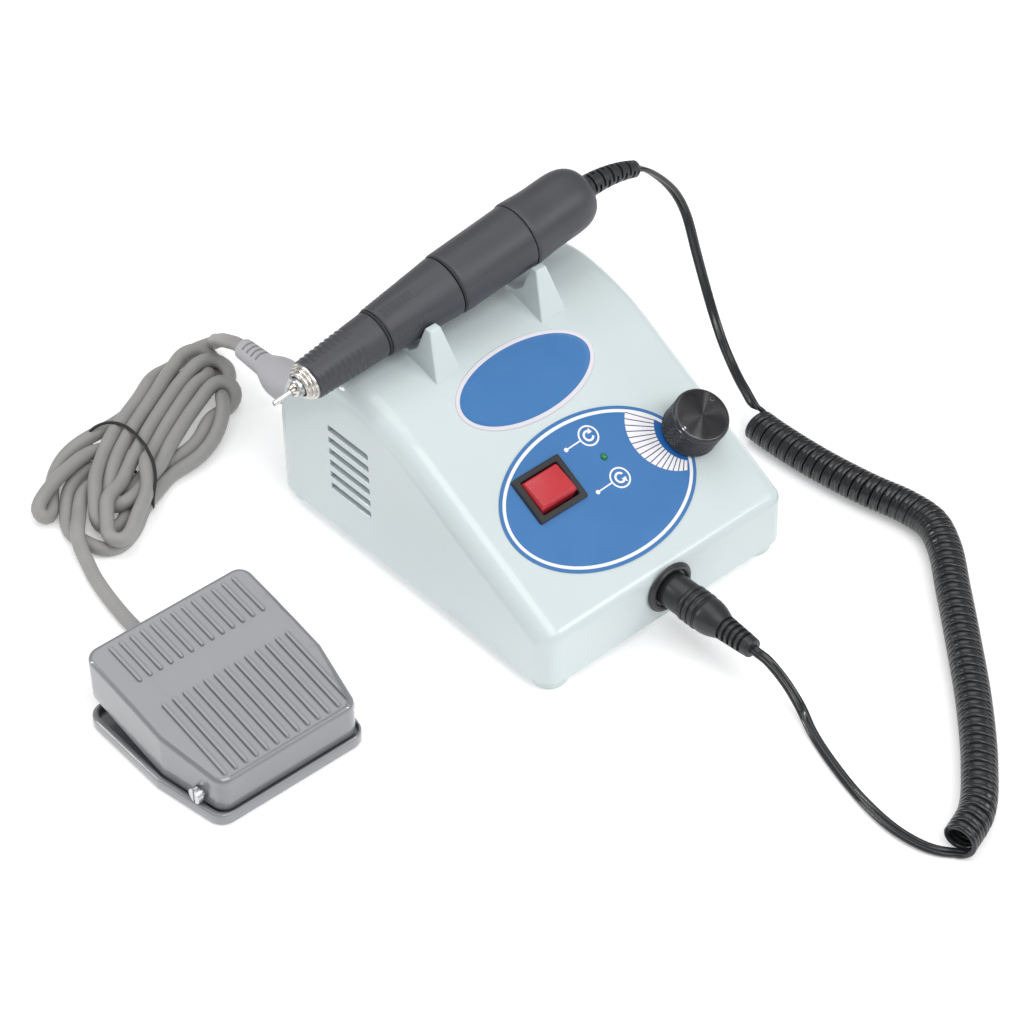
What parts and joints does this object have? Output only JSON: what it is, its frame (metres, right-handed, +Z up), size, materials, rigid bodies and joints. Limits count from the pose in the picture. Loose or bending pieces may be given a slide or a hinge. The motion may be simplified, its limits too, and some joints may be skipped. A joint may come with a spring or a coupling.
{
  "type": "micromotor polisher",
  "caption": "Bench micromotor polisher: sloped control box with a tapered rotary handpiece in a moulded cradle, a hinged foot pedal, a curly handpiece cord and a tied pedal cord.",
  "frame": {"origin": "on the table, at the middle of the rectangle that the control box, handpiece and pedal cover, cords left out", "axes": "+X to the right as the user faces the control box, +Y to its rear, +Z up from the table"},
  "size_m": [0.3332, 0.422, 0.1264],
  "materials": {
    "shell": "moulded, satin gloss",
    "base_plastic": "moulded",
    "rubber": "matt",
    "foot_rubber": "matt",
    "steel": "zinc plated",
    "blue_print": "printed and raised",
    "knob_black": "black anodised, knurled, spun face",
    "black_plastic": "moulded",
    "red_plastic": "translucent moulding",
    "green_lens": "clear tinted",
    "board": "glass fibre laminate",
    "capacitor": "sleeved can",
    "aluminium": "mill finish",
    "core": "laminated",
    "copper": "enamelled winding",
    "nickel": "bright nickel",
    "grip_plastic": "moulded, fine satin",
    "chuck_steel": "turned",
    "brass": "turned",
    "magnet": "ferrite",
    "carbon": "carbon",
    "phenolic": "moulded",
    "black_cord": "flexible jacket",
    "grey_plug": "moulded",
    "grey_cord": "flexible jacket",
    "pedal_grey": "fine textured paint",
    "white_plastic": "moulded"
  },
  "bodies": {
    "control_box": {"housing": "shell", "cradle_posts": "shell", "base_plate": "base_plastic", "box_feet": "foot_rubber", "screws": "steel", "control_panel": "blue_print", "nameplate": "blue_print", "potentiometer": "chuck_steel", "pot_nut": "nickel", "switch_frame": "black_plastic", "power_led": "green_lens", "circuit_board": "board", "capacitors": "capacitor", "heat_sink": "aluminium", "transformer_core": "core", "transformer_coil": "copper", "mains_inlet": "black_plastic", "inlet_pins": "nickel", "fuse_holder": "black_plastic", "pedal_socket": "black_plastic", "handpiece_socket": "black_plastic", "socket_nut": "steel", "handpiece_plug": "black_plastic", "handpiece_cord_lower": "black_cord", "handpiece_cord_curl": "black_cord", "handpiece_cord_upper": "black_cord", "pedal_plug": "grey_plug", "pedal_cord_upper": "grey_cord", "pedal_cord_hank": "grey_cord", "pedal_cord_tail": "grey_cord", "cord_tie": "rubber", "pedal_base": "pedal_grey", "pedal_pin": "steel", "pedal_spring": "steel", "pedal_switch": "black_plastic"},
    "speed_knob": {"speed_knob": "knob_black", "knob_grub_screw": "steel", "pot_shaft": "steel"},
    "switch_rocker": {"switch_rocker": "red_plastic"},
    "pedal_cover": {"pedal_cover": "pedal_grey"},
    "switch_plunger": {"switch_plunger": "white_plastic"},
    "handpiece": {"nose_cone": "grip_plastic", "nose_ring": "nickel", "chuck_body": "chuck_steel", "sleeve_rings": "rubber", "motor_sleeve": "grip_plastic", "rear_cap": "grip_plastic", "cable_sleeve": "black_plastic", "bearings": "steel", "motor_can": "chuck_steel", "magnets": "magnet", "brushes": "carbon", "end_plate": "phenolic"},
    "twist_sleeve": {"twist_sleeve": "grip_plastic"},
    "cam_ring": {"cam_ring": "brass"},
    "spindle": {"spindle": "chuck_steel", "collet": "nickel", "blank_pin": "nickel", "rotor": "copper", "commutator": "copper"}
  },
  "joints": [
    {"name": "speed_turn", "type": "hinge", "parent": "control_box", "child": "speed_knob", "pos_m": [0.0998, -0.05105, 0.05813], "axis": [0, -0.4894, 0.8721], "range_deg": [-135, 135]},
    {"name": "direction_rock", "type": "hinge", "parent": "control_box", "child": "switch_rocker", "pos_m": [0.0314, -0.03738, 0.05319], "axis": [1, 0, 0], "range_deg": [0, 16]},
    {"name": "pedal_press", "type": "hinge", "parent": "control_box", "child": "pedal_cover", "pos_m": [-0.11042, -0.03844, 0.0093], "axis": [0.9997, -0.0262, 0], "range_deg": [-6, 0], "stiffness_Nm_per_rad": 2, "springref_deg": 8.59, "deforming": ["pedal_spring"]},
    {"name": "plunger_slide", "type": "slide", "parent": "control_box", "child": "switch_plunger", "axis": [0, 0, 1], "range_m": [-0.0037, 0]},
    {"name": "handpiece_lift", "type": "slide", "parent": "control_box", "child": "handpiece", "axis": [0, 0, 1], "range_m": [0, 0.04]},
    {"name": "chuck_twist", "type": "hinge", "parent": "handpiece", "child": "twist_sleeve", "pos_m": [0.0281, 0.03885, 0.10271], "axis": [0.9928, 0, 0.1201], "range_deg": [0, 50]},
    {"name": "cam_slide", "type": "slide", "parent": "handpiece", "child": "cam_ring", "axis": [0.9928, 0, 0.1201], "range_m": [0, 0.0012]},
    {"name": "spindle_spin", "type": "hinge", "parent": "handpiece", "child": "spindle", "pos_m": [0.02512, 0.03885, 0.10235], "axis": [0.9928, 0, 0.1201], "continuous": true}
  ],
  "couplings": [
    {"joint": "plunger_slide", "follows": "pedal_press", "m_per_rad": 0.0347},
    {"joint": "cam_slide", "follows": "chuck_twist", "m_per_rad": 0.0013737}
  ]
}
